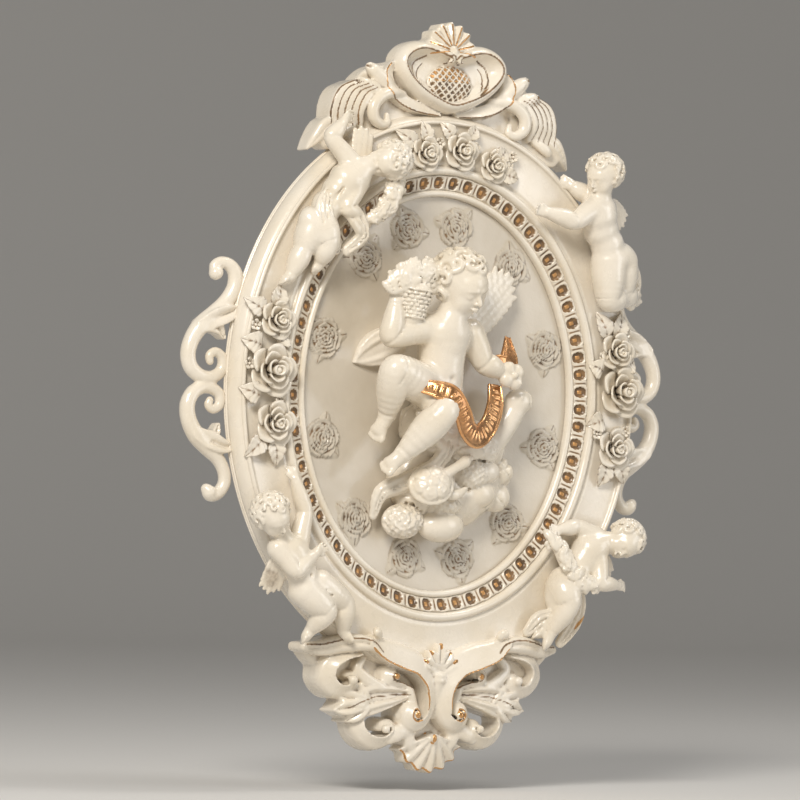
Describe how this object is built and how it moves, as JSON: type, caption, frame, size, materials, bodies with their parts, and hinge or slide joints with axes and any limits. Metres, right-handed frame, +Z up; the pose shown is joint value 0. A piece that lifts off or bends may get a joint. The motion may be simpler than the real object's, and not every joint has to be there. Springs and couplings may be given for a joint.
{
  "type": "angel wall sculpture",
  "caption": "Oval rococo wall plaque: deep moulded frame with crest, apron and side scrolls, a relief of a seated winged child, and small cherubs and roses on the frame.",
  "frame": {"origin": "middle of the panel's flat back, on the wall", "axes": "+Z up, +Y into the wall, so the relief looks along -Y, +X to the viewer's right"},
  "size_m": [0.5842, 0.1182, 0.7565],
  "materials": {
    "ivory_glaze": "warm ivory paint under clear gloss, with brown-gold rubbed into the edges and hollows",
    "copper_gold": "bright copper-gold paint on the child's ribbon"
  },
  "bodies": {
    "root": {"oval_frame": "ivory_glaze", "relief_panel": "ivory_glaze", "cherub_upper_left": "ivory_glaze", "cherub_upper_right": "ivory_glaze", "cherub_lower_left": "ivory_glaze", "cherub_lower_right": "ivory_glaze", "roses_top": "ivory_glaze", "roses_left": "ivory_glaze", "roses_right": "ivory_glaze"}
  },
  "joints": []
}
